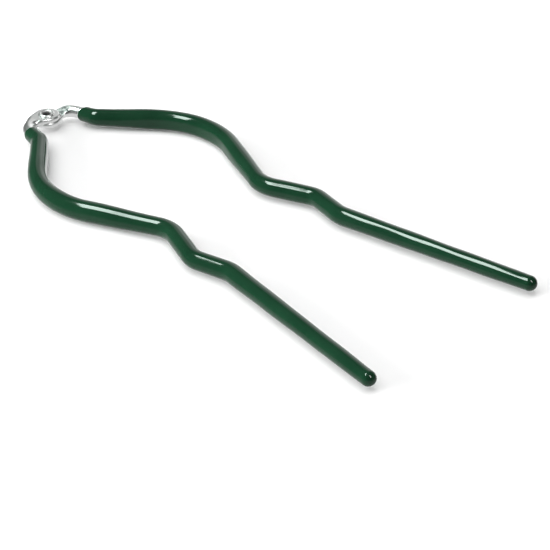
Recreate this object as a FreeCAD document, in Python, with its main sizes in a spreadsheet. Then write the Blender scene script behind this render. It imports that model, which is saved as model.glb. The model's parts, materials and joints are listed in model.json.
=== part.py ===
"""Jar lifter: two bent steel arms, dipped in vinyl and riveted together at one end.

Each arm is one round rod. Its hinge end is pressed flat into an eye, a shoulder bend turns
it forward, a round jaw grips half of a jar's neck, and an S-bend leads to a straight handle.
Both arms are the same part: the front one is the rear one rolled over about the long axis.

Frame: the origin is the centre of the gripped neck, halfway up the arms. +X runs from the
hinge to the handle tips, +Y to the rear arm and +Z up. Lengths are in millimetres.
"""
import FreeCAD, Part
import math
import os
import Sketcher
from FreeCAD import Placement, Rotation, Vector

doc = FreeCAD.newDocument("jar_lifter")

# ---------------------------------------------------------------- driving dimensions
# alias, value, what it measures. Bend corners are where two straight runs would meet,
# measured from the hinge axis: _x along the lifter, _y sideways.
DIMENSIONS = [
    ("hinge_to_grip", 70.2, "hinge axis to the centre of the gripped neck"),
    ("rod_diameter", 6.0, "steel rod of the arms"),
    ("eye_diameter", 12.8, "rod end pressed flat around the rivet"),
    ("eye_thickness", 2.4, "thickness of the pressed eye"),
    ("eye_edge_round", 0.6, "rounded edge of the pressed eye"),
    ("eye_taper_end", 10.4, "hinge axis to where the eye has narrowed to the rod"),
    ("press_end", 7.6, "hinge axis to where the pressed faces start to rise"),
    ("press_rise", 2.6, "length over which the pressed faces rise to the full rod"),
    ("hinge_gap", 0.1, "play between the two eyes"),
    ("rivet_diameter", 5.0, "shank of the rivet"),
    ("rivet_clearance", 0.05, "radial clearance of the shank in the eyes"),
    ("rivet_head_diameter", 8.8, "domed factory head, underneath"),
    ("rivet_head_height", 1.3, "height of the domed head"),
    ("rivet_roll_diameter", 8.2, "rolled head on top"),
    ("rivet_roll_height", 0.9, "height of the rolled head"),
    ("rivet_mouth_diameter", 5.6, "mouth of the hollow in the rolled head"),
    ("rivet_hollow_diameter", 3.4, "hollow end of the shank"),
    ("rivet_hollow_depth", 2.6, "depth of the hollow below the rolled head"),
    ("shoulder_x", -0.8, "shoulder bend corner"),
    ("shoulder_y", 13.6, "shoulder bend corner"),
    ("shoulder_radius", 9.0, "shoulder bend, to the rod's centre line"),
    ("spread_x", 16.9, "spreading bend corner"),
    ("spread_y", 17.4, "spreading bend corner"),
    ("spread_radius", 9.0, "spreading bend, to the centre line"),
    ("jaw_radius", 47.0, "jaw, to the centre line"),
    ("neck_x", 127.2, "corner where the jaw turns into the S-bend"),
    ("neck_y", 27.65, "corner where the jaw turns into the S-bend"),
    ("neck_radius", 17.0, "that bend, to the centre line"),
    ("crest_x", 153.2, "outer corner of the S-bend"),
    ("crest_y", 37.4, "outer corner of the S-bend"),
    ("crest_radius", 12.0, "that bend, to the centre line"),
    ("heel_x", 173.0, "corner where the S-bend turns into the handle"),
    ("heel_y", 33.3, "corner where the S-bend turns into the handle"),
    ("heel_radius", 18.0, "that bend, to the centre line"),
    ("tip_x", 274.2, "end of the handle"),
    ("tip_y", 49.0, "end of the handle"),
    ("coat_start", 1.8, "shoulder bend's end to the rim of the coating"),
    ("coat_rim_radius", 3.7, "coating at its rim"),
    ("coat_arm_radius", 4.25, "coating at the spreading bend"),
    ("coat_jaw_half_width", 4.8, "coating in the jaw, sideways from the centre line"),
    ("coat_jaw_half_height", 5.1, "coating in the jaw, up and down from the centre line"),
    ("coat_neck_radius", 4.35, "coating in the S-bend"),
    ("coat_tip_radius", 3.4, "coating at the handle tip"),
    ("coat_tip_wall", 2.6, "coating beyond the end of the rod"),
    ("grip_radius", 42.8, "jaw's flat inner face, to the centre of the neck"),
]

sheet = doc.addObject("Spreadsheet::Sheet", "dims")
for row, (alias, value, meaning) in enumerate(DIMENSIONS, start=1):
    sheet.set(f"A{row}", meaning)
    sheet.set(f"B{row}", str(value))
    sheet.setAlias(f"B{row}", alias)
doc.recompute()


def dim(alias):
    """Value of one cell of the sheet."""
    return float(sheet.get(alias))


# ---------------------------------------------------------------- the arm's centre line
def turned(heading, angle):
    """Unit vector at an angle, in degrees, to the left of a heading."""
    direction = math.radians(heading + angle)
    return Vector(math.cos(direction), math.sin(direction), 0)


def heading_between(start, end):
    """Heading in degrees from one point to another."""
    return math.degrees(math.atan2(end.y - start.y, end.x - start.x))


def crossing(point, heading, other, other_heading):
    """Where two straight lines in the XY plane meet."""
    along, across = turned(heading, 0), turned(other_heading, 90)
    return point + along * ((other - point).dot(across) / along.dot(across))


def corner(name):
    """A bend corner of the sheet, as a point in the arm's own frame."""
    return Vector(dim(name + "_x"), dim(name + "_y"), 0)


def jaw_corner():
    """Corner of the two straight runs that are tangent to the jaw's arc."""
    centre = Vector(dim("hinge_to_grip"), 0, 0)
    before, after = corner("spread"), corner("neck")
    rise = math.degrees(math.asin(dim("jaw_radius") / before.distanceToPoint(centre)))
    fall = math.degrees(math.asin(dim("jaw_radius") / after.distanceToPoint(centre)))
    heading_in = heading_between(before, centre) + rise
    heading_out = heading_between(after, centre) - fall + 180
    return crossing(before, heading_in, after, heading_out)


def centre_line():
    """The arm's runs and bends in order, from the hinge axis to the handle's end.

    Each is a dict with a name, its start point and heading, and a length for a straight
    run, or a radius, its cell and a turn in degrees (left is positive) for a bend.
    """
    names = ["shoulder", "spread", "jaw", "neck", "crest", "heel"]
    corners = [jaw_corner() if name == "jaw" else corner(name) for name in names]
    points = [Vector(0, 0, 0)] + corners + [corner("tip")]
    pieces = []
    start = points[0]
    for index, name in enumerate(names, start=1):
        heading = heading_between(points[index - 1], points[index])
        turn = heading_between(points[index], points[index + 1]) - heading
        radius = dim(name + "_radius")
        cut_back = radius * math.tan(math.radians(abs(turn) / 2))
        bend_start = points[index] - turned(heading, 0) * cut_back
        pieces.append({"name": "to_" + name, "start": start, "heading": heading,
                       "length": start.distanceToPoint(bend_start)})
        pieces.append({"name": name, "start": bend_start, "heading": heading,
                       "radius": radius, "cell": name + "_radius", "turn": turn})
        start = points[index] + turned(heading + turn, 0) * cut_back
    heading = heading_between(points[-2], points[-1])
    pieces.append({"name": "handle", "start": start, "heading": heading,
                   "length": start.distanceToPoint(points[-1])})
    return {piece["name"]: piece for piece in pieces}


LINE = centre_line()


def point_along(run, distance):
    """Point on a straight run, a distance from its start."""
    return run["start"] + turned(run["heading"], 0) * distance


def across(point, heading):
    """Placement of a section plane: its X up, its Y to the right of the heading."""
    rotation = Rotation(Vector(0, 0, 1), turned(heading, -90), turned(heading, 0), "ZXY")
    return Placement(point, rotation)


def lengthwise(point, heading):
    """Placement of a flat plane whose X runs along the heading and whose normal is up."""
    return Placement(point, Rotation(Vector(0, 0, 1), heading))


# ---------------------------------------------------------------- PartDesign helpers
def new_body(name):
    """A body whose label is the sub-part's name."""
    body = doc.addObject("PartDesign::Body", name)
    body.Label = name
    return body


def new_sketch(body, name, placement=Placement(), role="XY_Plane"):
    """A sketch on one of the body's own origin planes, moved by a placement."""
    sketch = body.newObject("Sketcher::SketchObject", f"{body.Name}_{name}")
    plane = next(item for item in body.Origin.OriginFeatures if item.Role == role)
    sketch.AttachmentSupport = [(plane, "")]
    sketch.MapMode = "FlatFace"
    sketch.AttachmentOffset = placement
    return sketch


def new_feature(body, kind, name, sketch):
    """A sketch-based PartDesign feature of the body."""
    feature = body.newObject("PartDesign::" + kind, f"{body.Name}_{name}")
    feature.Profile = sketch
    return feature


def add_circle(sketch, radius_formula):
    """A circle at the sketch's origin, its radius bound to the sheet."""
    circle = sketch.addGeometry(Part.Circle(Vector(0, 0, 0), Vector(0, 0, 1), 3))
    sketch.addConstraint(Sketcher.Constraint("Coincident", circle, 3, -1, 1))
    index = sketch.addConstraint(Sketcher.Constraint("Radius", circle, 3))
    sketch.setExpression(f"Constraints[{index}]", radius_formula)


def add_oval(sketch, half_width, half_height):
    """An upright ellipse on a section plane, centred on the rod."""
    top, side = Vector(half_height, 0, 0), Vector(0, half_width, 0)
    sketch.addGeometry(Part.Ellipse(top, side, Vector(0, 0, 0)))


def add_outline(sketch, points):
    """A closed outline of straight lines."""
    for start, end in zip(points, points[1:] + points[:1]):
        sketch.addGeometry(Part.LineSegment(Vector(*start, 0), Vector(*end, 0)))


def add_bend_axis(sketch, side, radius_cell):
    """A construction line up through the bend's centre, its offset bound to the sheet."""
    offset = -side * dim(radius_cell)
    axis = sketch.addGeometry(Part.LineSegment(Vector(-1, offset, 0), Vector(1, offset, 0)), True)
    sketch.addConstraint(Sketcher.Constraint("Horizontal", axis))
    index = sketch.addConstraint(Sketcher.Constraint("DistanceY", -1, 1, axis, 1, offset))
    sketch.setExpression(f"Constraints[{index}]", f"{-side} * dims.{radius_cell}")


def revolve(body, name, sketch, angle, reverse=False, axis="Axis0"):
    """Turn a sketch about one of its own axes."""
    feature = new_feature(body, "Revolution", name, sketch)
    feature.ReferenceAxis = (sketch, [axis])
    feature.Angle = angle
    feature.Reversed = reverse
    return feature


def bend(body, piece, draw_section):
    """Carry a section round a bend of the centre line."""
    sketch = new_sketch(body, piece["name"] + "_section", across(piece["start"], piece["heading"]))
    draw_section(sketch)
    side = 1 if piece["turn"] > 0 else -1
    add_bend_axis(sketch, side, piece["cell"])
    return revolve(body, piece["name"], sketch, abs(piece["turn"]), reverse=side < 0)


# ---------------------------------------------------------------- steel rod
def make_rod(name):
    """One arm's steel rod: pressed eye, shoulder, jaw, S-bend and handle core."""
    body = new_body(name)
    gap, thick = dim("hinge_gap") / 2, dim("eye_thickness")
    radius, eye_radius = dim("rod_diameter") / 2, dim("eye_diameter") / 2

    # eye: a disc that narrows to the rod's width, tangent to the disc, in line with the rod
    lean = LINE["to_shoulder"]["heading"] - 90
    eye_plane = Placement(Vector(0, 0, -gap), Rotation(Vector(0, 0, 1), lean))
    outline = new_sketch(body, "eye_outline", eye_plane)
    corner_angle = math.atan2(dim("eye_taper_end"), radius)
    reach = math.hypot(radius, dim("eye_taper_end"))
    touch_angle = corner_angle - math.acos(eye_radius / reach)
    touch = Vector(eye_radius * math.cos(touch_angle), eye_radius * math.sin(touch_angle), 0)
    mirror_touch = Vector(-touch.x, touch.y, 0)
    rod_side = Vector(radius, dim("eye_taper_end"), 0)
    mirror_side = Vector(-radius, dim("eye_taper_end"), 0)
    outline.addGeometry(Part.Arc(mirror_touch, Vector(0, -eye_radius, 0), touch))
    outline.addGeometry(Part.LineSegment(touch, rod_side))
    outline.addGeometry(Part.LineSegment(rod_side, mirror_side))
    outline.addGeometry(Part.LineSegment(mirror_side, mirror_touch))
    eye = new_feature(body, "Pad", "eye", outline)
    eye.setExpression("Length", "dims.eye_thickness")
    eye.Reversed = True
    doc.recompute()

    # the pressed edge is rounded, top and bottom
    flat_edges = [f"Edge{number}" for number, edge in enumerate(eye.Shape.Edges, start=1)
                  if edge.BoundBox.ZLength < 1e-6 and edge.BoundBox.YMin < dim("eye_taper_end") - 1]
    rounding = body.newObject("PartDesign::Fillet", body.Name + "_eye_round")
    rounding.Base = (eye, flat_edges)
    rounding.setExpression("Radius", "dims.eye_edge_round")
    doc.recompute()

    # round rod, from inside the eye to the handle's end
    section = "dims.rod_diameter / 2"
    first = LINE["to_shoulder"]
    rod_start = first["length"] - 0.2
    for piece in LINE.values():
        if "turn" in piece:
            bend(body, piece, lambda sketch: add_circle(sketch, section))
            continue
        begin = rod_start if piece is first else 0
        length = piece["length"] - begin
        if piece["name"] == "handle":
            length -= dim("coat_tip_wall")
        start = point_along(piece, begin)
        sketch = new_sketch(body, piece["name"] + "_section", across(start, piece["heading"]))
        add_circle(sketch, section)
        run = new_feature(body, "Pad", piece["name"], sketch)
        run.Length = length
    doc.recompute()

    # pressed faces: the rod's top and bottom rise from the eye's two faces
    slope_end = dim("press_end") + dim("press_rise")
    clear = radius + 3
    above = [(-eye_radius, -gap), (dim("press_end"), -gap), (slope_end, radius), (slope_end, clear),
             (-eye_radius, clear)]
    under = -gap - thick
    below = [(-eye_radius, under), (dim("press_end"), under), (slope_end, -radius),
             (slope_end, -clear), (-eye_radius, -clear)]
    for side, points in (("above", above), ("below", below)):
        press_plane = Placement(Vector(0, 0, 0), Rotation(Vector(0, 1, 0), lean))
        sketch = new_sketch(body, "press_" + side, press_plane, role="YZ_Plane")
        add_outline(sketch, points)
        cut = new_feature(body, "Pocket", "pressed_" + side, sketch)
        cut.Type = "Length"
        cut.Midplane = True
        cut.setExpression("Length", "dims.eye_diameter * 2")
        doc.recompute()

    # rivet hole
    sketch = new_sketch(body, "hole_outline")
    add_circle(sketch, "dims.rivet_diameter / 2 + dims.rivet_clearance")
    hole = new_feature(body, "Pocket", "rivet_hole", sketch)
    hole.Type = "Length"
    hole.Midplane = True
    hole.setExpression("Length", "dims.eye_thickness * 4")
    doc.recompute()
    return body


# ---------------------------------------------------------------- vinyl coating
def coat_section(sketch, half_width, half_height):
    """Section of the coating: a circle where both halves are the same, or else an oval."""
    if half_width == half_height:
        add_circle(sketch, f"dims.{half_width}")
    else:
        add_oval(sketch, dim(half_width), dim(half_height))


def make_coat(name, rod):
    """Dipped coating of one arm, from its rim near the hinge over the handle's end."""
    body = new_body(name + "_outside")
    arm = ("coat_arm_radius", "coat_arm_radius")
    jaw = ("coat_jaw_half_width", "coat_jaw_half_height")
    neck = ("coat_neck_radius", "coat_neck_radius")
    tip = ("coat_tip_radius", "coat_tip_radius")

    # thin end of the dip, swelling to its full size at the spreading bend
    run = LINE["to_spread"]
    length = run["length"] - dim("coat_start")
    placement = lengthwise(point_along(run, dim("coat_start")), run["heading"])
    sketch = new_sketch(body, "rim_profile", placement)
    rim, full = dim("coat_rim_radius"), dim("coat_arm_radius")
    swell = Part.BSplineCurve()
    swell.interpolate([Vector(0, rim, 0), Vector(length * 0.45, (rim + full) / 2, 0),
                       Vector(length, full, 0)],
                      InitialTangent=Vector(1, 0.25, 0), FinalTangent=Vector(1, 0, 0))
    sketch.addGeometry(swell)
    corners = [Vector(length, full, 0), Vector(length, 0, 0), Vector(0, 0, 0), Vector(0, rim, 0)]
    for start, end in zip(corners, corners[1:]):
        sketch.addGeometry(Part.LineSegment(start, end))
    revolve(body, "rim", sketch, 360, axis="H_Axis")
    doc.recompute()

    # bends keep their section; runs blend from one section to the next
    bends = {"spread": arm, "jaw": jaw, "neck": neck, "crest": neck, "heel": neck}
    for piece_name, section in bends.items():
        bend(body, LINE[piece_name], lambda sketch: coat_section(sketch, *section))
        doc.recompute()
    runs = {"to_jaw": (arm, jaw), "to_neck": (jaw, neck), "to_crest": (neck, neck),
            "to_heel": (neck, neck), "handle": (neck, tip)}
    for piece_name, ends in runs.items():
        piece = LINE[piece_name]
        length = piece["length"] - (dim("coat_tip_radius") if piece_name == "handle" else 0)
        sketches = []
        for place, distance, section in (("start", 0, ends[0]), ("end", length, ends[1])):
            plane = across(point_along(piece, distance), piece["heading"])
            sketch = new_sketch(body, f"{piece_name}_{place}", plane)
            coat_section(sketch, *section)
            sketches.append(sketch)
        loft = new_feature(body, "AdditiveLoft", piece_name, sketches[0])
        loft.Sections = [sketches[1]]
        loft.Ruled = True
        doc.recompute()

    # round end of the handle
    handle = LINE["handle"]
    tip_centre = point_along(handle, handle["length"] - dim("coat_tip_radius"))
    sketch = new_sketch(body, "tip_profile", lengthwise(tip_centre, handle["heading"]))
    radius = dim("coat_tip_radius")
    middle = Vector(radius * math.cos(math.pi / 4), radius * math.sin(math.pi / 4), 0)
    sketch.addGeometry(Part.Arc(Vector(radius, 0, 0), middle, Vector(0, radius, 0)))
    sketch.addGeometry(Part.LineSegment(Vector(0, radius, 0), Vector(0, 0, 0)))
    sketch.addGeometry(Part.LineSegment(Vector(0, 0, 0), Vector(radius, 0, 0)))
    revolve(body, "tip", sketch, 360, axis="H_Axis")
    doc.recompute()

    # flat inner face of the jaw: part of a cylinder about the jar's axis
    centre = Placement(Vector(dim("hinge_to_grip"), 0, 0), Rotation())
    sketch = new_sketch(body, "grip_outline", centre)
    add_circle(sketch, "dims.grip_radius")
    grip = new_feature(body, "Pocket", "grip_face", sketch)
    grip.Type = "Length"
    grip.Midplane = True
    grip.setExpression("Length", "dims.coat_jaw_half_height * 3")
    doc.recompute()

    # hollow for the rod
    coat = doc.addObject("Part::Cut", name)
    coat.Label = name
    coat.Base = body
    coat.Tool = rod
    return body, coat


# ---------------------------------------------------------------- rivet
def make_rivet(name):
    """Semi-tubular rivet: domed head below, hollow end rolled over on top."""
    body = new_body(name)
    top = dim("hinge_gap") / 2 + dim("eye_thickness")
    bottom = -top - dim("hinge_gap")
    shank = dim("rivet_diameter") / 2
    roll, roll_height = dim("rivet_roll_diameter") / 2, dim("rivet_roll_height")
    head, head_height = dim("rivet_head_diameter") / 2, dim("rivet_head_height")
    mouth, hollow = dim("rivet_mouth_diameter") / 2, dim("rivet_hollow_diameter") / 2
    floor = top - dim("rivet_hollow_depth")
    head_edge = 0.3
    dome_height = head_height - head_edge
    dome_radius = (head ** 2 + dome_height ** 2) / (2 * dome_height)
    dome_half = math.asin(head / dome_radius) / 2
    sketch = new_sketch(body, "profile", role="XZ_Plane")
    points = [(0, floor), (hollow, floor + 0.4), (hollow, top - 0.2), (mouth, top + roll_height * 0.9)]
    crown = [(mouth, top + roll_height * 0.9), (mouth + 0.35, top + roll_height), (roll, top + 0.2)]
    rest = [(roll, top + 0.2), (roll - 0.2, top), (shank, top), (shank, bottom), (head, bottom),
            (head, bottom - head_edge)]
    dome_middle = bottom - head_height + dome_radius * (1 - math.cos(dome_half))
    dome = [(head, bottom - head_edge), (dome_radius * math.sin(dome_half), dome_middle),
            (0, bottom - head_height)]
    for chain in (points, rest, [(0, bottom - head_height), (0, floor)]):
        for start, end in zip(chain, chain[1:]):
            sketch.addGeometry(Part.LineSegment(Vector(*start, 0), Vector(*end, 0)))
    for arc in (crown, dome):
        sketch.addGeometry(Part.Arc(*[Vector(*point, 0) for point in arc]))
    revolve(body, "turned", sketch, 360, axis="V_Axis")
    return body


# ---------------------------------------------------------------- assembly
to_grip = Vector(-dim("hinge_to_grip"), 0, 0)
PLACEMENTS = {
    "rear": Placement(to_grip, Rotation()),
    "front": Placement(to_grip, Rotation(Vector(1, 0, 0), 180)),
}
subparts = {}
for side, placement in PLACEMENTS.items():
    rod = make_rod(side + "_arm_rod")
    outside, coat = make_coat(side + "_arm_coating", rod)
    rod.Placement = placement
    outside.Placement = placement
    subparts[rod.Label] = rod
    subparts[coat.Label] = coat
rivet = make_rivet("pivot_rivet")
rivet.Placement = PLACEMENTS["rear"]
subparts[rivet.Label] = rivet
doc.recompute()

# ---------------------------------------------------------------- checks and export
for item in doc.Objects:
    if "Invalid" in item.State or "Error" in item.State:
        raise RuntimeError(f"{item.Name} failed: {item.State}")
os.makedirs("parts", exist_ok=True)
for name, item in subparts.items():
    shape = item.Shape
    if shape.isNull() or not shape.isValid() or len(shape.Solids) != 1:
        raise RuntimeError(f"{name} is not one valid solid")
    solid = shape.Solids[0]
    solid.exportStep(f"parts/{name}.step")
    print(f"{name}: {solid.Volume:.0f} mm3, {len(solid.Faces)} faces")
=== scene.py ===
"""Jar lifter: the looks of the arms, their dipped coating and the rivet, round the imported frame.

Lengths are named in millimetres, as in the CAD model, and turned into metres where a mesh is made.
"""
import json
import math

import bmesh
import bpy
from mathutils import Matrix, Vector


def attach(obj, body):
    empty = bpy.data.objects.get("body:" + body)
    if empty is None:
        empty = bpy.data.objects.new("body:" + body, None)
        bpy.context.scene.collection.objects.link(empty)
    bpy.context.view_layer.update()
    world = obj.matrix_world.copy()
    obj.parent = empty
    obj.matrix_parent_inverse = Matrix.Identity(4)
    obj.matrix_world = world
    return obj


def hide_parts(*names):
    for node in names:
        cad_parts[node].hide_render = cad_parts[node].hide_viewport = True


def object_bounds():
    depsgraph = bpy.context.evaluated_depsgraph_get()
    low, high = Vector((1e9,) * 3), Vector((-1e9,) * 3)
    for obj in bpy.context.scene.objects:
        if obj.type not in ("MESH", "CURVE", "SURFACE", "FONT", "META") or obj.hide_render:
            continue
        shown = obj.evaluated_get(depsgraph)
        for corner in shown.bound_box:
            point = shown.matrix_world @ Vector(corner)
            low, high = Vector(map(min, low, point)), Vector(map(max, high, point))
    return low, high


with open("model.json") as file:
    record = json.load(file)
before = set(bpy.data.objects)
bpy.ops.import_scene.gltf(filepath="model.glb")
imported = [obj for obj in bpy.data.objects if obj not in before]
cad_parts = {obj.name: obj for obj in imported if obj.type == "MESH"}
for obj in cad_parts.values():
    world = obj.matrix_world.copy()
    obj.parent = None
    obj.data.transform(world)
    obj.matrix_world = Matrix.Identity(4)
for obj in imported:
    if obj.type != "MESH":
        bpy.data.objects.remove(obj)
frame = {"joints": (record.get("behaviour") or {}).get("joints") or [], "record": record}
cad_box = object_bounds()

MM = 0.001
TINY = 1e-6

# ---------------------------------------------------------------- the arm's centre line
HINGE = Vector(frame["joints"][0]["pos_m"]) / MM
GRIP_RADIUS = frame["record"]["mounts"][0]["dims"]["r_mm"]
ROD_RADIUS = 3.0
JAW_RADIUS = 47.0
# corners of the bends, measured from the hinge axis, each with its radius; the jaw's corner isn't
# here, since it follows from the jar's circle
CORNERS = {
    "shoulder": (-0.8, 13.6, 9.0),
    "spread": (16.9, 17.4, 9.0),
    "neck": (127.2, 27.65, 17.0),
    "crest": (153.2, 37.4, 12.0),
    "heel": (173.0, 33.3, 18.0),
}
TIP = Vector((274.2, 49.0))
# points in each ring round an arm
RING_SIDES = 44


def unit(heading):
    """Unit vector in the arms' plane at a heading in radians."""
    return Vector((math.cos(heading), math.sin(heading)))


def left_of(heading):
    """Unit vector a quarter turn to the left of a heading; on the rear arm, away from the jar."""
    return Vector((-math.sin(heading), math.cos(heading)))


def heading_of(start, end):
    """Heading in radians from one point to another."""
    return math.atan2(end.y - start.y, end.x - start.x)


def jaw_corner(before, after):
    """Corner of the two straight runs that are tangent to the jaw's arc about the jar."""
    centre = Vector((-HINGE.x, 0.0))
    rise = math.asin(JAW_RADIUS / (centre - before).length)
    fall = math.asin(JAW_RADIUS / (centre - after).length)
    along = unit(heading_of(before, centre) + rise)
    back = unit(heading_of(after, centre) - fall)
    normal = Vector((-back.y, back.x))
    return before + along * ((after - before).dot(normal) / along.dot(normal))


def arm_line():
    """Straight runs and arcs of the rear arm: (name, start, heading, length, turn in radians)."""
    places = {name: Vector(place[:2]) for name, place in CORNERS.items()}
    radii = {name: place[2] for name, place in CORNERS.items()}
    radii["jaw"] = JAW_RADIUS
    places["jaw"] = jaw_corner(places["spread"], places["neck"])
    names = ["shoulder", "spread", "jaw", "neck", "crest", "heel"]
    points = [Vector((0, 0))] + [places[name] for name in names] + [TIP]
    pieces = []
    start = points[0]
    for index, name in enumerate(names, start=1):
        heading = heading_of(points[index - 1], points[index])
        turn = heading_of(points[index], points[index + 1]) - heading
        cut_back = radii[name] * math.tan(abs(turn) / 2)
        bend = points[index] - unit(heading) * cut_back
        pieces.append(("to_" + name, start, heading, (bend - start).length, 0.0))
        pieces.append((name, bend, heading, radii[name] * abs(turn), turn))
        start = points[index] + unit(heading + turn) * cut_back
    heading = heading_of(points[-2], points[-1])
    pieces.append(("handle", start, heading, (points[-1] - start).length, 0.0))
    return pieces


LINE = arm_line()
LINE_LENGTH = sum(piece[3] for piece in LINE)


def place_at(distance):
    """Point and heading of the centre line, a distance along it from the hinge axis."""
    for name, start, heading, length, turn in LINE:
        if distance <= length or name == "handle":
            break
        distance -= length
    if not turn:
        return start + unit(heading) * distance, heading
    now = heading + turn * distance / length
    radius = length / turn
    return start + (left_of(heading) - left_of(now)) * radius, now


def reach(name):
    """Distance along the line to where a run or a bend starts."""
    total = 0.0
    for piece in LINE:
        if piece[0] == name:
            break
        total += piece[3]
    return total


def quarter(step):
    """Angles in radians inside a quarter turn, a step in degrees apart."""
    return [math.radians(degrees) for degrees in range(step, 90, step)]


def smooth(low, high, value):
    """0 below low, 1 above high, and an S-curve between."""
    ratio = min(1.0, max(0.0, (value - low) / (high - low)))
    return ratio * ratio * (3 - 2 * ratio)


def steps(start, end, size):
    """Evenly spread values from start to end, both included, about a size apart."""
    count = max(1, round(abs(end - start) / size))
    return [start + (end - start) * index / count for index in range(count + 1)]


def around(count):
    """Angles of evenly spread points round a circle."""
    return [2 * math.pi * index / count for index in range(count)]


def level_ring(radius, height, sides):
    """Circle about the hinge axis."""
    return [Vector((radius * math.cos(a), radius * math.sin(a), height)) for a in around(sides)]


def skin(name, rings):
    """A closed mesh through rings of equally many points, in the rear arm's own frame."""
    mesh = bmesh.new()
    rows = [[mesh.verts.new(point * MM) for point in ring] for ring in rings]
    for first, second in zip(rows, rows[1:]):
        for index in range(len(first)):
            after = (index + 1) % len(first)
            mesh.faces.new((first[index], first[after], second[after], second[index]))
    for row in (rows[0], rows[-1]):
        middle = mesh.verts.new(sum((vert.co for vert in row), Vector()) / len(row))
        for index in range(len(row)):
            mesh.faces.new((row[index], row[(index + 1) % len(row)], middle))
    bmesh.ops.recalc_face_normals(mesh, faces=mesh.faces)
    data = bpy.data.meshes.new(name)
    mesh.to_mesh(data)
    mesh.free()
    for face in data.polygons:
        face.use_smooth = True
    piece = bpy.data.objects.new(name, data)
    bpy.context.scene.collection.objects.link(piece)
    return piece


def to_arm(piece, side):
    """Moves a mesh made in the rear arm's own frame to its arm; the front one is rolled over."""
    if side == "front":
        piece.data.transform(Matrix.Rotation(math.pi, 4, "X"))
    piece.data.transform(Matrix.Translation(HINGE * MM))


# ---------------------------------------------------------------- dipped coating
# how far past the shoulder bend each dip's rim lies, and how much further on its outer side
RIM_AFTER_SHOULDER = {"rear": 3.0, "front": 0.8}
RIM_SLANT = {"rear": 1.6, "front": -0.2}
# lengths from the rim: of its slant's fading, its rounded lip and the thinner dip behind it
RIM_SETTLES = 14.0
RIM_LIP = 0.8
RIM_THICKENS = 10.0
# half-widths at the rim, from there to the jaw, from the jaw to the handle, and in the jaw
RIM_HALF = 3.85
FIRST_HALF = 4.3
SECOND_HALF = 4.35
JAW_HALF = 4.8
JAW_HALF_HEIGHT = 5.1
# the first half-width gives way to the second this far along the run into the jaw, where the
# jaw's own size leaves a step of only 0.01 mm between them
HALVES_CHANGE = 20.0
# the flat face on the jaw: room round it where it fades out, and how sharp its edges are
FACE_ROOM = 0.6
FACE_SHARPNESS = 6
TIP_RADIUS = 3.4
# vinyl past the rod's end
TIP_WALL = 2.6
# the uneven dip starts this far from the rim and the tip
CALM_RIM = 6.0
CALM_TIP = 8.0
# distances between the rings along the arm and in the bore, and degrees between those round the
# lip and the tip
COAT_STEP = 0.75
BORE_STEP = 3.0
LIP_STEP = 15
TIP_STEP = 8


def rim_distance(side):
    """Distance from the hinge axis along the rod to the middle of one dip's rim."""
    return reach("to_spread") + RIM_AFTER_SHOULDER[side]


def coat_size(distance, from_rim):
    """Half-width, half-height and jaw share (0 to 1) of the coating at a distance along."""
    into_jaw = smooth(reach("to_jaw"), reach("jaw"), distance)
    out_of_jaw = smooth(reach("to_neck"), reach("neck"), distance)
    jaw = into_jaw * (1 - out_of_jaw)
    base = SECOND_HALF
    if distance < reach("to_jaw") + HALVES_CHANGE:
        base = RIM_HALF + (FIRST_HALF - RIM_HALF) * smooth(0.0, RIM_THICKENS, from_rim)
    handle = reach("handle")
    taper = max(0.0, distance - handle) / (LINE_LENGTH - TIP_RADIUS - handle)
    base += (TIP_RADIUS - SECOND_HALF) * min(1.0, taper)
    return base + (JAW_HALF - base) * jaw, base + (JAW_HALF_HEIGHT - base) * jaw, jaw


def coat_wave(distance, angle):
    """Gentle unevenness left by the dip, in millimetres."""
    long_wave, drift, short_wave = 6.1, 17.0, 4.3
    long_rise, short_rise = 0.045, 0.035
    along = long_rise * math.sin(distance / long_wave + 0.8 * math.sin(distance / drift))
    turning = short_rise * math.sin(distance / short_wave + 2.0 * math.cos(angle)
                                    + math.sin(2 * angle))
    return along + turning


def coat_ring(distance, side, wall=1.0):
    """Ring round one arm's rod: its surface at wall 0 and the dip's outer skin at wall 1.

    The ring starts at the side away from the jar. Near the rim it leans, as the rim does.
    """
    from_rim = distance - rim_distance(side)
    lean = RIM_SLANT[side] * (1 - smooth(0.0, RIM_SETTLES, from_rim))
    calm = smooth(0.0, CALM_RIM, from_rim) * smooth(0.0, CALM_TIP, LINE_LENGTH - distance)
    face = JAW_RADIUS - GRIP_RADIUS
    ring = []
    for angle in around(RING_SIDES):
        along = distance + lean * math.cos(angle)
        width, height, jaw = coat_size(along, from_rim)
        place, heading = place_at(along)
        swell = 1 + calm * coat_wave(distance, angle) / height
        out = width * math.cos(angle) * swell
        if out < 0 and jaw > 0:
            limit = face + (width + FACE_ROOM - face) * (1 - jaw)
            out = -limit * math.tanh((-out / limit) ** FACE_SHARPNESS) ** (1 / FACE_SHARPNESS)
        rise = height * math.sin(angle) * swell
        out = ROD_RADIUS * math.cos(angle) * (1 - wall) + out * wall
        rise = ROD_RADIUS * math.sin(angle) * (1 - wall) + rise * wall
        point = place + left_of(heading) * out
        ring.append(Vector((point.x, point.y, rise)))
    return ring


def plain_ring(distance, radius):
    """Points of a plain circle round the centre line."""
    place, heading = place_at(distance)
    ring = []
    for angle in around(RING_SIDES):
        point = place + left_of(heading) * radius * math.cos(angle)
        ring.append(Vector((point.x, point.y, radius * math.sin(angle))))
    return ring


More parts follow.
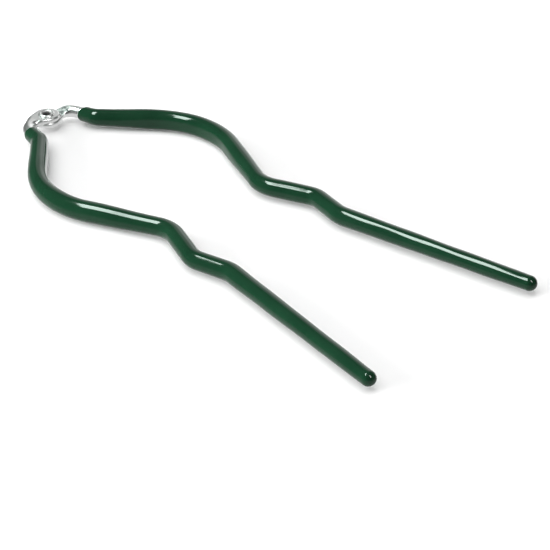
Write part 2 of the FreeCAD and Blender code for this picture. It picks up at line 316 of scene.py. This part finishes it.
def coat_rings(side):
    """Rings of one coating in order: out of the bore, over the rim, along the arm, to the tip."""
    rim = rim_distance(side)
    body_end = LINE_LENGTH - TIP_RADIUS
    bore = steps(LINE_LENGTH - TIP_WALL, rim, BORE_STEP)
    rings = [coat_ring(distance, side, 0.0) for distance in bore]
    for turn in quarter(LIP_STEP):
        rings.append(coat_ring(rim + RIM_LIP * (1 - math.cos(turn)), side, math.sin(turn)))
    body = steps(rim + RIM_LIP, body_end, COAT_STEP)
    rings += [coat_ring(distance, side) for distance in body]
    for turn in quarter(TIP_STEP):
        past = TIP_RADIUS * math.sin(turn)
        rings.append(plain_ring(body_end + past, TIP_RADIUS * math.cos(turn)))
    return rings


# ---------------------------------------------------------------- steel rods
EYE_RADIUS = 6.4
EYE_THICKNESS = 2.4
# rounding of the eye's edges, and play between the two eyes
EYE_ROUND = 0.6
EYE_PLAY = 0.1
HOLE_RADIUS = 2.55
HOLE_HALF_LENGTH = 10.0
HOLE_SIDES = 64
# distances from the hinge axis: where the eye's edge leaves its disc, where its flat ends, and
# where the sides are back at the rod's width and the slope at its full height
DISC_END = 2.0
PRESS_END = 7.2
TAPER_END = 10.4
PRESS_TOP = 13.0
# the pressed section turns round again between these two
ROUND_START = PRESS_END - 1.0
ROUND_END = PRESS_END + 4.0
# how widely the corners between sides and between slopes are rounded over
TAPER_BLEND = 0.25
PRESS_BLEND = 0.04
# how fast the underside may drop from the eye's to the rod's
UNDER_SLOPE = 0.1
# bare rod modelled in fine steps past the rear rim, and play between the rod's end and the vinyl
BARE_EXTRA = 1.0
END_PLAY = 0.05
# distances between the sections of the eye, of the pressed slope up to the rim and of the rest
EYE_STEP = 0.6
PRESS_STEP = 0.25
ROD_STEP = 2.5


def eye_half_width(along):
    """Half-width of the pressed end: a disc that narrows to the rod, tangent to the disc."""
    corner = math.atan2(TAPER_END, ROD_RADIUS)
    touch = corner - math.acos(EYE_RADIUS / math.hypot(ROD_RADIUS, TAPER_END))
    touch_along = EYE_RADIUS * math.sin(touch)
    if along <= touch_along:
        return math.sqrt(max(0.0, EYE_RADIUS ** 2 - along ** 2))
    slope = (EYE_RADIUS * math.cos(touch) - ROD_RADIUS) / (TAPER_END - touch_along)
    excess = (TAPER_END - along) * slope
    return ROD_RADIUS + TAPER_BLEND * math.log1p(math.exp(excess / TAPER_BLEND))


def soft_min(first, second, blend):
    """The smaller of two values, rounded over where they are close."""
    nearer = min(first, second)
    return nearer - blend * math.log1p(math.exp(-abs(first - second) / blend))


def rod_ring(along):
    """Section of the rod at a distance from the hinge axis, pressed flat near the hinge."""
    place, heading = place_at(max(along, 0.0))
    if along < 0:
        place = place + unit(heading) * along
    half = eye_half_width(along)
    under = -EYE_PLAY / 2 - EYE_THICKNESS
    middle = under + EYE_THICKNESS / 2
    roundness = smooth(ROUND_START, ROUND_END, along)
    rise = (ROD_RADIUS + EYE_PLAY / 2) / (PRESS_TOP - PRESS_END)
    ring = []
    for angle in around(RING_SIDES):
        side = half * math.cos(angle)
        inside = EYE_RADIUS - math.hypot(side, along) if along < DISC_END else half - abs(side)
        short = max(0.0, EYE_ROUND - max(0.0, inside))
        edge = EYE_THICKNESS / 2 - EYE_ROUND + math.sqrt(EYE_ROUND ** 2 - short ** 2)
        sign = (math.sin(angle) > TINY) - (math.sin(angle) < -TINY)
        flat = middle + sign * edge
        height = flat + (ROD_RADIUS * math.sin(angle) - flat) * roundness
        point = place + left_of(heading) * side
        if along > PRESS_END:
            pressed = max(0.0, point.y - PRESS_END)
            height = soft_min(height, pressed * rise - EYE_PLAY / 2, PRESS_BLEND)
            height = max(height, under - pressed * UNDER_SLOPE)
        ring.append(Vector((point.x, point.y, height)))
    return ring


def rod_rings():
    """All sections of a rod, from the eye's far side to the handle's end."""
    far_side = [-EYE_RADIUS * math.cos(math.radians(angle)) for angle in range(3, 90, 6)]
    bare_end = rim_distance("rear") + RIM_SLANT["rear"] + BARE_EXTRA
    rod_end = LINE_LENGTH - TIP_WALL - END_PLAY
    places = (far_side + steps(0.0, PRESS_END, EYE_STEP)
              + steps(PRESS_END + PRESS_STEP, bare_end, PRESS_STEP)
              + steps(bare_end + ROD_STEP, rod_end, ROD_STEP))
    return [rod_ring(along) for along in places]


def cut_hole(piece):
    """Cuts the rivet's hole through an eye."""
    ends = (-HOLE_HALF_LENGTH, HOLE_HALF_LENGTH)
    cutter = skin("hole_cutter", [level_ring(HOLE_RADIUS, end, HOLE_SIDES) for end in ends])
    cut = piece.modifiers.new("hole", "BOOLEAN")
    cut.operation = "DIFFERENCE"
    cut.solver = "EXACT"
    cut.object = cutter
    graph = bpy.context.evaluated_depsgraph_get()
    data = bpy.data.meshes.new_from_object(piece.evaluated_get(graph))
    piece.modifiers.clear()
    piece.data = data
    bpy.data.objects.remove(cutter)


# ---------------------------------------------------------------- rivet
RIVET_SIDES = 72
SHANK_RADIUS = 2.5
BORE_RADIUS = 2.05
BORE_DEPTH = 3.6
ROLL_RADIUS = 0.85
# the roll's centre, from the axis and below the upper eye's top
ROLL_OUT = 3.2
ROLL_SINK = 0.1
HEAD_RADIUS = 4.4
HEAD_EDGE = 0.3
HEAD_CROWN = 1.3
BORE_FILLET = 0.4
HEAD_FILLET = 0.15


def arc(centre, radius, start, end, count):
    """Points of an arc in the rivet's half-section, angles in degrees from outward to up."""
    angles = [math.radians(start + (end - start) * index / count) for index in range(count + 1)]
    return [(centre[0] + radius * math.cos(a), centre[1] + radius * math.sin(a)) for a in angles]


def rivet_rings():
    """The set rivet's half-section turned about the hinge axis: hollow rolled end, shank, dome."""
    top = EYE_PLAY / 2 + EYE_THICKNESS
    floor = top - BORE_DEPTH
    dome_rise = HEAD_CROWN - HEAD_EDGE
    dome_radius = (HEAD_RADIUS ** 2 + dome_rise ** 2) / (2 * dome_rise)
    dome_half = math.degrees(math.asin(HEAD_RADIUS / dome_radius))
    dome_centre = (0.0, -top - HEAD_CROWN + dome_radius)
    head_corner = (HEAD_RADIUS - HEAD_FILLET, -top - HEAD_FILLET)
    # the bore: its floor rises a little to a rounded corner, and its wall widens towards the roll
    profile = [(0.25, floor), (BORE_RADIUS - 0.5, floor + 0.1)]
    profile += arc((BORE_RADIUS - BORE_FILLET, floor + 0.5), BORE_FILLET, -60, 0, 4)
    profile += [(BORE_RADIUS, floor + 0.9), (BORE_RADIUS + 0.05, floor + 2.4)]
    # the rolled end, the shank and the head's edge
    profile += arc((ROLL_OUT, top - ROLL_SINK), ROLL_RADIUS, 170, 5, 18)
    profile += [(SHANK_RADIUS, top), (SHANK_RADIUS, -top), (HEAD_RADIUS - 0.1, -top)]
    profile += arc(head_corner, HEAD_FILLET, 90, 0, 3)[1:]
    # the dome, from just inside the head's edge to just short of the axis
    profile += arc(dome_centre, dome_radius, -90 + dome_half * 0.98, -88.5, 14)
    return [level_ring(radius, height, RIVET_SIDES) for radius, height in profile]


# ---------------------------------------------------------------- materials
SHADER = "Principled BSDF"
# range in which nearly all values of a noise lie
NOISE_RANGE = (0.3, 0.7)
# sockets of a mix node for each kind of value: at factor 0, at factor 1 and the result
MIX_SOCKETS = {"FLOAT": (2, 3, 0), "RGBA": (6, 7, 2)}
# where the painted shade lies, in distances from the hinge axis: it fades out just outside the
# rivet's bore, and on the pressed slope it fades in at the slope's start and out again at its end
BORE_SHADE_FADES = (2.2 * MM, 2.7 * MM)
SLOPE_SHADE_STARTS = (6.6 * MM, 7.6 * MM)
SLOPE_SHADE_ENDS = (12.6 * MM, 11.2 * MM)


def new_material(name):
    """A node material and its node tree, with a Principled shader."""
    material = bpy.data.materials.new(name)
    material.use_nodes = True
    return material, material.node_tree, material.node_tree.nodes[SHADER]


def add_noise(tree, scale, detail, stretch=(1, 1, 1)):
    """Noise over object coordinates; its Fac output."""
    place = tree.nodes.new("ShaderNodeTexCoord")
    mapping = tree.nodes.new("ShaderNodeMapping")
    mapping.inputs["Scale"].default_value = stretch
    noise = tree.nodes.new("ShaderNodeTexNoise")
    noise.inputs["Scale"].default_value = scale
    noise.inputs["Detail"].default_value = detail
    tree.links.new(place.outputs["Object"], mapping.inputs["Vector"])
    tree.links.new(mapping.outputs["Vector"], noise.inputs["Vector"])
    return noise.outputs["Fac"]


def add_tint(tree, noise, dark, pale):
    """Colour that goes from dark to pale with a noise."""
    ramp = tree.nodes.new("ShaderNodeValToRGB")
    for element, place, colour in zip(ramp.color_ramp.elements, NOISE_RANGE, (dark, pale)):
        element.position = place
        element.color = (*colour, 1)
    tree.links.new(noise, ramp.inputs["Fac"])
    return ramp.outputs["Color"]


def add_range(tree, value, source, target=(0.0, 1.0), shape="LINEAR"):
    """A value taken from its source range to a target range, and held at its ends."""
    spread = tree.nodes.new("ShaderNodeMapRange")
    spread.interpolation_type = shape
    spread.inputs["From Min"].default_value, spread.inputs["From Max"].default_value = source
    spread.inputs["To Min"].default_value, spread.inputs["To Max"].default_value = target
    tree.links.new(value, spread.inputs["Value"])
    return spread.outputs["Result"]


def add_bump(tree, height, strength, distance, under=None):
    """Bump from a height, over another normal if one is given."""
    bump = tree.nodes.new("ShaderNodeBump")
    bump.inputs["Strength"].default_value = strength
    bump.inputs["Distance"].default_value = distance
    tree.links.new(height, bump.inputs["Height"])
    if under:
        tree.links.new(under, bump.inputs["Normal"])
    return bump.outputs["Normal"]


def vinyl_material():
    """Glossy dark green dipped vinyl, slightly uneven, with fine surface grain."""
    material, tree, shader = new_material("dipped_vinyl_green")
    tint = add_noise(tree, scale=55, detail=3)
    colour = add_tint(tree, tint, (0.0040, 0.027, 0.0120), (0.0060, 0.034, 0.0155))
    tree.links.new(colour, shader.inputs["Base Color"])
    haze = add_noise(tree, scale=180, detail=4)
    tree.links.new(add_range(tree, haze, NOISE_RANGE, (0.07, 0.12)), shader.inputs["Roughness"])
    waves = add_noise(tree, scale=90, detail=2)
    dip = add_bump(tree, waves, strength=0.04, distance=0.0006)
    specks = add_noise(tree, scale=1500, detail=3)
    grain = add_bump(tree, specks, strength=0.05, distance=0.0001, under=dip)
    tree.links.new(grain, shader.inputs["Normal"])
    shader.inputs["Specular IOR Level"].default_value = 0.32
    return material


def steel_material(name, roughness, stretch=(1, 1, 1)):
    """Bright plated steel with faint drawn lines and handling marks."""
    material, tree, shader = new_material(name)
    shade = add_noise(tree, scale=260, detail=4)
    colour = add_tint(tree, shade, (0.86, 0.87, 0.86), (0.92, 0.93, 0.92))
    tree.links.new(colour, shader.inputs["Base Color"])
    lines = add_noise(tree, scale=700, detail=5, stretch=stretch)
    tree.links.new(add_range(tree, lines, NOISE_RANGE, roughness), shader.inputs["Roughness"])
    marks = add_bump(tree, lines, strength=0.015, distance=0.0001)
    tree.links.new(marks, shader.inputs["Normal"])
    shader.inputs["Metallic"].default_value = 1.0
    return material


def from_hinge(tree):
    """Place measured from the hinge's centre, and the distance from the hinge axis."""
    place = tree.nodes.new("ShaderNodeTexCoord")
    centred = tree.nodes.new("ShaderNodeVectorMath")
    centred.operation = "SUBTRACT"
    centred.inputs[1].default_value = HINGE * MM
    flat = tree.nodes.new("ShaderNodeVectorMath")
    flat.operation = "MULTIPLY"
    flat.inputs[1].default_value = (1, 1, 0)
    size = tree.nodes.new("ShaderNodeVectorMath")
    size.operation = "LENGTH"
    tree.links.new(place.outputs["Object"], centred.inputs[0])
    tree.links.new(centred.outputs["Vector"], flat.inputs[0])
    tree.links.new(flat.outputs["Vector"], size.inputs[0])
    return centred.outputs["Vector"], size.outputs["Value"]


def product(tree, first, *others):
    """Values multiplied."""
    for other in others:
        times = tree.nodes.new("ShaderNodeMath")
        times.operation = "MULTIPLY"
        tree.links.new(first, times.inputs[0])
        tree.links.new(other, times.inputs[1])
        first = times.outputs["Value"]
    return first


def paint_shade_where(material, bright, shaded_looks):
    """Blends a shader's sockets to painted-shade values where a factor falls from 1 to 0."""
    tree = material.node_tree
    for socket, shaded in shaded_looks.items():
        target = tree.nodes[SHADER].inputs[socket]
        mix = tree.nodes.new("ShaderNodeMix")
        mix.data_type = "RGBA" if socket == "Base Color" else "FLOAT"
        at_zero, at_one, result = MIX_SOCKETS[mix.data_type]
        tree.links.new(bright, mix.inputs["Factor"])
        mix.inputs[at_zero].default_value = shaded
        if target.links:
            tree.links.new(target.links[0].from_socket, mix.inputs[at_one])
        else:
            mix.inputs[at_one].default_value = target.default_value
        tree.links.new(mix.outputs[result], target)


def paint_bore_shade(material):
    """Paints shade into the rivet's hollow: it is coloured dark grey, not metallic and rough, to
    stand in for the shade inside it.
    """
    tree = material.node_tree
    distance = from_hinge(tree)[1]
    bright = add_range(tree, distance, BORE_SHADE_FADES)
    # painted shade: inside the bore's radius the hollow is coloured dark grey where shade falls
    paint_shade_where(material, bright,
               {"Base Color": (0.10, 0.10, 0.10, 1), "Metallic": 0.0, "Roughness": 0.9})


def paint_press_shade(material):
    """Paints shade on the slope that the press made between rod and eye: a patchy dark grey colour
    stands in for the shade there, and the higher roughness is the satin left by pressing.
    """
    tree = material.node_tree
    place, distance = from_hinge(tree)
    parts = tree.nodes.new("ShaderNodeSeparateXYZ")
    tree.links.new(place, parts.inputs[0])
    # the slope lies above the plane of the arms on the rear arm and below it on the front one
    pressed_side = product(tree, parts.outputs["Y"], parts.outputs["Z"])
    on_slope = add_range(tree, pressed_side, (0.0, TINY))
    start = add_range(tree, distance, SLOPE_SHADE_STARTS)
    end = add_range(tree, distance, SLOPE_SHADE_ENDS)
    patches = add_range(tree, add_noise(tree, scale=620, detail=3), (0.72, 0.42))
    slope_shade = product(tree, start, end, patches, on_slope)
    bright = add_range(tree, slope_shade, (1.0, 0.0))
    # painted shade: dark grey base colour on the slope; roughness 0.42 for the pressed satin
    paint_shade_where(material, bright, {"Base Color": (0.16, 0.165, 0.17, 1), "Roughness": 0.42})


VINYL = vinyl_material()
ARM_STEEL = steel_material("plated_rod_steel", roughness=(0.27, 0.36), stretch=(1, 1, 3))
RIVET_STEEL = steel_material("plated_rivet_steel", roughness=(0.30, 0.45))
# painted shade in the rivet's bore and on the rods' pressed slopes
paint_bore_shade(RIVET_STEEL)
paint_press_shade(ARM_STEEL)


# ---------------------------------------------------------------- pieces
def dress(piece, material, body, replaced):
    """Gives a new piece its material, slot and body, and hides the CAD node it stands for."""
    piece.data.materials.clear()
    piece.data.materials.append(material)
    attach(piece, body)
    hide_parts(replaced)


for side in ("rear", "front"):
    coat = skin(side + "_dipped_coating", coat_rings(side))
    to_arm(coat, side)
    dress(coat, VINYL, side + "_arm", side + "_arm_coating")
    rod = skin(side + "_steel_rod", rod_rings())
    cut_hole(rod)
    to_arm(rod, side)
    dress(rod, ARM_STEEL, side + "_arm", side + "_arm_rod")
rivet = skin("set_rivet", rivet_rings())
to_arm(rivet, "rear")
dress(rivet, RIVET_STEEL, "front_arm", "pivot_rivet")

# ---------------------------------------------------------------- floor, light and camera
FLOOR_HALF = 8.0
# where the lights look
LIT_POINT = Vector((0.03, 0.0, 0.0))
# glows of the surroundings: direction, cosines at their outer and inner edge, and strength
BACKDROP = ((-0.40, 0.91, -0.05), 0.80, 0.97, 1.0)
CEILING = ((-0.60, 0.66, 0.45), 0.93, 0.985, 0.62)
TABLE = ((0, 0, -1), -0.05, 0.30, 0.58)
# azimuth, elevation and roll in degrees, place in metres, focal length and sensor's width in mm
CAMERA_TURNS = (47.99, 32.01, -2.16)
CAMERA_PLACE = (0.6340, -0.4860, 0.4337)
CAMERA_LENS = 125.15
CAMERA_SENSOR = 36.0


def add_floor():
    """A wide pale floor just under the lifter."""
    low = min(cad_box[0][2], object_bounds()[0][2])
    signs = ((-1, -1), (1, -1), (1, 1), (-1, 1))
    data = bpy.data.meshes.new("floor")
    data.from_pydata([(x * FLOOR_HALF, y * FLOOR_HALF, low) for x, y in signs], [], [(0, 1, 2, 3)])
    floor = bpy.data.objects.new("floor", data)
    bpy.context.scene.collection.objects.link(floor)
    material, tree, shader = new_material("pale_floor")
    paper = add_noise(tree, scale=3, detail=2)
    colour = add_tint(tree, paper, (0.86, 0.86, 0.86), (0.88, 0.88, 0.88))
    tree.links.new(colour, shader.inputs["Base Color"])
    shader.inputs["Roughness"].default_value = 0.9
    shader.inputs["Specular IOR Level"].default_value = 0.1
    data.materials.append(material)
    floor.visible_glossy = False


def add_softbox(name, direction, long_side, distance, size, power, mirrored, colour=(1, 1, 1)):
    """A rectangular lamp that looks at the lifter, its width along long_side.

    A mirrored one shows only in reflections, and any other only lights surfaces up.
    """
    light = bpy.data.lights.new(name, "AREA")
    light.shape = "RECTANGLE"
    light.size, light.size_y = size
    light.energy = power
    light.color = colour
    lamp = bpy.data.objects.new(name, light)
    towards = Vector(direction).normalized()
    height = towards.cross(Vector(long_side)).normalized()
    turn = Matrix((height.cross(towards), height, towards)).transposed().to_4x4()
    lamp.matrix_world = Matrix.Translation(LIT_POINT + towards * distance) @ turn
    bpy.context.scene.collection.objects.link(lamp)
    lamp.visible_diffuse = not mirrored
    lamp.visible_glossy = mirrored


def add_world(dim, glows):
    """Studio surroundings: dim all round, with pale glows."""
    world = bpy.data.worlds.new("studio")
    world.use_nodes = True
    tree = world.node_tree
    place = tree.nodes.new("ShaderNodeTexCoord").outputs["Generated"]
    total = None
    for direction, outer, inner, strength in glows:
        near = tree.nodes.new("ShaderNodeVectorMath")
        near.operation = "DOT_PRODUCT"
        near.inputs[1].default_value = Vector(direction).normalized()
        tree.links.new(place, near.inputs[0])
        glow = add_range(tree, near.outputs["Value"], (outer, inner), (0.0, strength), "SMOOTHSTEP")
        join = tree.nodes.new("ShaderNodeMath")
        join.operation = "ADD"
        tree.links.new(glow, join.inputs[0])
        if total:
            tree.links.new(total, join.inputs[1])
        else:
            join.inputs[1].default_value = dim
        total = join.outputs["Value"]
    background = tree.nodes["Background"]
    background.inputs["Color"].default_value = (1, 1, 1, 1)
    tree.links.new(total, background.inputs["Strength"])
    bpy.context.scene.world = world


def add_camera():
    """Camera where the photograph was taken from: across the jaws, from above the handles."""
    azimuth, elevation, roll = (math.radians(angle) for angle in CAMERA_TURNS)
    ahead = Vector((-math.sin(azimuth) * math.cos(elevation),
                    math.cos(azimuth) * math.cos(elevation), -math.sin(elevation)))
    level = Vector((math.cos(azimuth), math.sin(azimuth), 0))
    above = level.cross(ahead)
    right = level * math.cos(roll) + above * math.sin(roll)
    up = above * math.cos(roll) - level * math.sin(roll)
    data = bpy.data.cameras.new("camera")
    data.sensor_width = CAMERA_SENSOR
    data.lens = CAMERA_LENS
    data.clip_start = 0.01
    camera = bpy.data.objects.new("camera", data)
    turn = Matrix((right, up, -ahead)).transposed().to_4x4()
    camera.matrix_world = Matrix.Translation(Vector(CAMERA_PLACE)) @ turn
    bpy.context.scene.collection.objects.link(camera)
    bpy.context.scene.camera = camera


add_floor()
add_softbox("key_strip", direction=(-0.371, -0.329, 0.869), long_side=(0.386, -0.90, -0.186),
            distance=3.0, size=(1.75, 0.57), power=82, mirrored=True, colour=(0.84, 1.0, 0.93))
add_softbox("rear_strip", direction=(0.66, 0.0, 0.75), long_side=(0.75, 0.0, -0.66),
            distance=3.0, size=(1.6, 0.4), power=45, mirrored=True)
add_softbox("panel", direction=(-0.25, -0.2, 1.0), long_side=(1, 0, 0),
            distance=2.0, size=(3.0, 3.0), power=62, mirrored=False)
add_softbox("back", direction=(-0.35, 0.93, 0.25), long_side=(1, 0, 0),
            distance=1.5, size=(1.0, 1.0), power=14, mirrored=False)
add_softbox("low_front", direction=(-0.60, -0.76, 0.24), long_side=(0.76, -0.60, 0),
            distance=1.5, size=(1.6, 0.5), power=46, mirrored=False)
add_world(dim=0.11, glows=[BACKDROP, CEILING, TABLE])
add_camera()
bpy.context.scene.view_settings.view_transform = "Standard"
